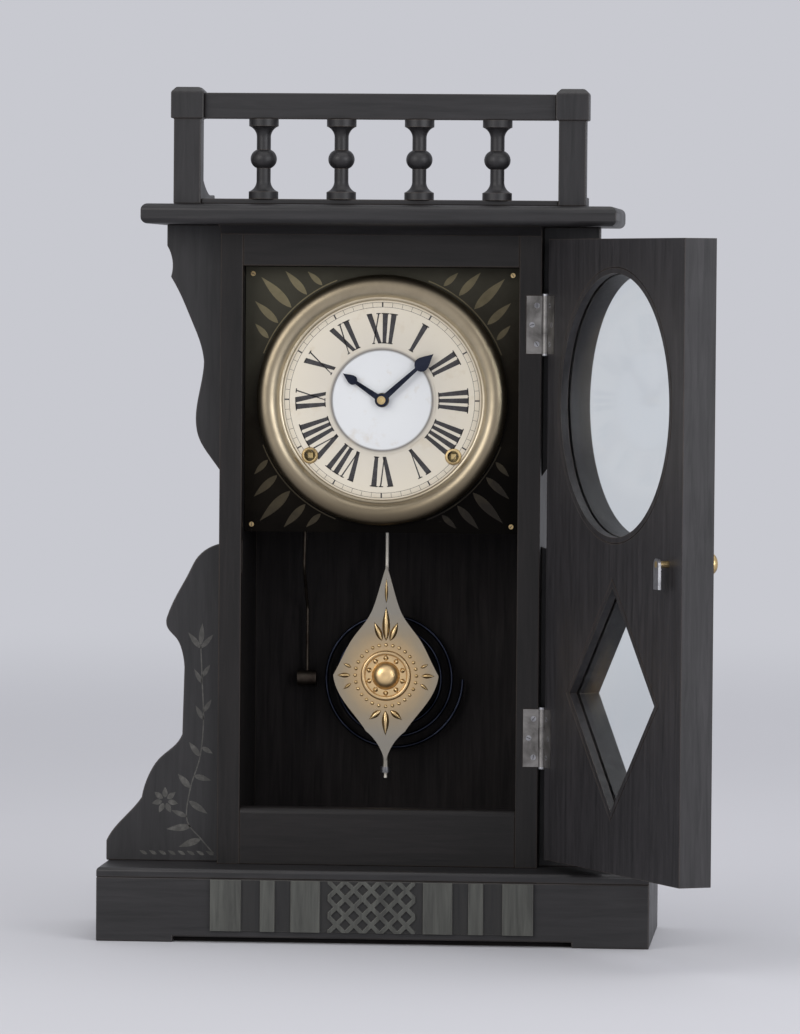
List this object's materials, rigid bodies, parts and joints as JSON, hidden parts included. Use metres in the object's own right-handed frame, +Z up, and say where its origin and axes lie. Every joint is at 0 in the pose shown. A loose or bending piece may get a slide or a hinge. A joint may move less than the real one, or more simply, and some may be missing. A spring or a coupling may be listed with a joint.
{
  "type": "shelf clock",
  "caption": "Ebonised shelf clock with a gallery top, a hinged glazed door, a round dial, a pendulum and its movement.",
  "frame": {"origin": "centre of the underside of the base, on what the clock stands on", "axes": "+Z up, +X to the right seen from the front, +Y to the back; the dial faces -Y"},
  "size_m": [0.3877, 0.2868, 0.531],
  "materials": {
    "ebonised_wood": "ebonised, satin varnish",
    "inner_wood": "plain softwood, stained dark",
    "door_glass": "clear",
    "plate_lacquer": "dark lacquer",
    "bezel_brass": "aged",
    "dial_paint": "satin ivory",
    "hand_steel": "blued",
    "movement_brass": "satin",
    "movement_steel": "satin",
    "stand_iron": "japanned"
  },
  "bodies": {
    "case": {"base_floor_board": "inner_wood", "base_front_panel": "ebonised_wood", "base_end_panels": "ebonised_wood", "base_back_panel": "inner_wood", "base_top_board": "ebonised_wood", "base_frieze": "ebonised_wood", "case_side_left": "ebonised_wood", "case_side_right": "ebonised_wood", "case_back_board": "inner_wood", "case_bottom_rail": "ebonised_wood", "case_top_rail": "ebonised_wood", "cornice_board": "ebonised_wood", "cornice_cove": "ebonised_wood", "gallery_posts": "ebonised_wood", "gallery_rails": "ebonised_wood", "gallery_balusters": "ebonised_wood", "gallery_side_rails": "ebonised_wood", "upper_wings": "ebonised_wood", "lower_wings": "ebonised_wood", "hinge_case_leaves": "bezel_brass", "hinge_pins": "hand_steel", "dial_plate": "plate_lacquer", "dial_face": "dial_paint", "dial_bezel": "bezel_brass", "winding_grommets": "bezel_brass", "movement_cleats": "inner_wood", "movement_front_plate": "movement_brass", "movement_back_plate": "movement_brass", "plate_pillars": "movement_steel", "mainsprings": "movement_steel", "suspension_cock": "movement_brass", "gong_coil": "movement_steel", "gong_stand": "stand_iron"},
    "door": {"door_frame": "ebonised_wood", "door_glass_panes": "door_glass", "door_glass_beads": "ebonised_wood", "hinge_door_leaves": "bezel_brass"},
    "latch": {"door_knob": "bezel_brass", "latch_tongue": "hand_steel"},
    "centre": {"centre_wheel": "movement_brass", "minute_hand": "hand_steel", "hand_nut": "hand_steel"},
    "hour": {"hour_wheel": "movement_brass", "hour_hand": "hand_steel"},
    "minute_work": {"minute_wheel": "movement_brass"},
    "time_second": {"time_second_wheel": "movement_brass"},
    "time_great": {"time_great_wheel": "movement_brass"},
    "third": {"third_wheel": "movement_brass"},
    "escape": {"escape_wheel": "movement_brass"},
    "verge": {"verge_and_crutch": "movement_steel"},
    "pins": {"pin_wheel": "movement_brass"},
    "strike_second": {"strike_second_wheel": "movement_brass"},
    "strike_great": {"strike_great_wheel": "movement_brass"},
    "warning": {"warning_wheel": "movement_brass"},
    "fly": {"fly": "movement_brass"},
    "hammer": {"hammer": "movement_steel"},
    "pendulum": {"pendulum_rod": "hand_steel", "suspension_spring": "hand_steel"},
    "bob": {"pendulum_bob": "bezel_brass"},
    "nut": {"rating_nut": "hand_steel"}
  },
  "joints": [
    {"name": "door_swing", "type": "hinge", "parent": "case", "child": "door", "pos_m": [0.103, -0.0355, 0.25], "axis": [0, 0, 1], "range_deg": [-116.8, 10]},
    {"name": "latch_turn", "type": "hinge", "parent": "door", "child": "latch", "pos_m": [0.20488, -0.18951, 0.244], "axis": [-0.8926, -0.4509, 0], "range_deg": [0, 90]},
    {"name": "minute_spin", "type": "hinge", "parent": "case", "child": "centre", "pos_m": [0, 0, 0.337], "axis": [0, 1, 0], "continuous": true},
    {"name": "hour_spin", "type": "hinge", "parent": "case", "child": "hour", "pos_m": [0, -0.018, 0.337], "axis": [0, 1, 0], "continuous": true},
    {"name": "minute_wheel_spin", "type": "hinge", "parent": "case", "child": "minute_work", "pos_m": [-0.01128, -0.014, 0.3329], "axis": [0, 1, 0], "continuous": true},
    {"name": "time_second_spin", "type": "hinge", "parent": "case", "child": "time_second", "pos_m": [0.01814, 0.006, 0.3139], "axis": [0, 1, 0], "continuous": true},
    {"name": "time_great_spin", "type": "hinge", "parent": "case", "child": "time_great", "pos_m": [0.045, 0.006, 0.302], "axis": [0, 1, 0], "continuous": true},
    {"name": "third_spin", "type": "hinge", "parent": "case", "child": "third", "pos_m": [0.01255, 0.006, 0.35173], "axis": [0, 1, 0], "continuous": true},
    {"name": "escape_spin", "type": "hinge", "parent": "case", "child": "escape", "pos_m": [0, 0.006, 0.364], "axis": [0, 1, 0], "continuous": true},
    {"name": "pin_wheel_spin", "type": "hinge", "parent": "case", "child": "pins", "pos_m": [-0.02684, 0.006, 0.34643], "axis": [0, 1, 0], "continuous": true},
    {"name": "strike_second_spin", "type": "hinge", "parent": "case", "child": "strike_second", "pos_m": [-0.0302, 0.006, 0.32738], "axis": [0, 1, 0], "continuous": true},
    {"name": "strike_great_spin", "type": "hinge", "parent": "case", "child": "strike_great", "pos_m": [-0.045, 0.006, 0.302], "axis": [0, 1, 0], "continuous": true},
    {"name": "warning_spin", "type": "hinge", "parent": "case", "child": "warning", "pos_m": [-0.02027, 0.006, 0.3627], "axis": [0, 1, 0], "continuous": true},
    {"name": "fly_spin", "type": "hinge", "parent": "case", "child": "fly", "pos_m": [-0.02923, 0.006, 0.37339], "axis": [0, 1, 0], "continuous": true},
    {"name": "hammer_swing", "type": "hinge", "parent": "case", "child": "hammer", "pos_m": [-0.05, 0.02, 0.341], "axis": [0, 1, 0], "range_deg": [0, 6]},
    {"name": "pendulum_swing", "type": "hinge", "parent": "case", "child": "pendulum", "pos_m": [0, 0.03, 0.38238], "axis": [0, 1, 0], "range_deg": [-2.5, 2.5]},
    {"name": "verge_rock", "type": "hinge", "parent": "case", "child": "verge", "pos_m": [0, 0.01, 0.38238], "axis": [0, 1, 0], "range_deg": [-2.5, 2.5]},
    {"name": "bob_slide", "type": "slide", "parent": "pendulum", "child": "bob", "axis": [0, 0, 1], "range_m": [-0.002, 0.002]},
    {"name": "nut_turn", "type": "hinge", "parent": "bob", "child": "nut", "pos_m": [0, 0.03, 0.1017], "axis": [0, 0, 1], "range_deg": [-1080, 1080]}
  ],
  "couplings": [
    {"joint": "hour_spin", "follows": "minute_spin", "ratio": 0.083333},
    {"joint": "minute_wheel_spin", "follows": "minute_spin", "ratio": -0.33333},
    {"joint": "time_second_spin", "follows": "minute_spin", "ratio": -0.175},
    {"joint": "time_great_spin", "follows": "minute_spin", "ratio": 0.030625},
    {"joint": "third_spin", "follows": "minute_spin", "ratio": -5.1429},
    {"joint": "escape_spin", "follows": "minute_spin", "ratio": 23.51},
    {"joint": "strike_second_spin", "follows": "pin_wheel_spin", "ratio": -0.19444},
    {"joint": "strike_great_spin", "follows": "pin_wheel_spin", "ratio": 0.034028},
    {"joint": "warning_spin", "follows": "pin_wheel_spin", "ratio": -4.5714},
    {"joint": "fly_spin", "follows": "pin_wheel_spin", "ratio": 15.673},
    {"joint": "verge_rock", "follows": "pendulum_swing", "ratio": 1},
    {"joint": "nut_turn", "follows": "bob_slide", "rad_per_m": 8976}
  ]
}
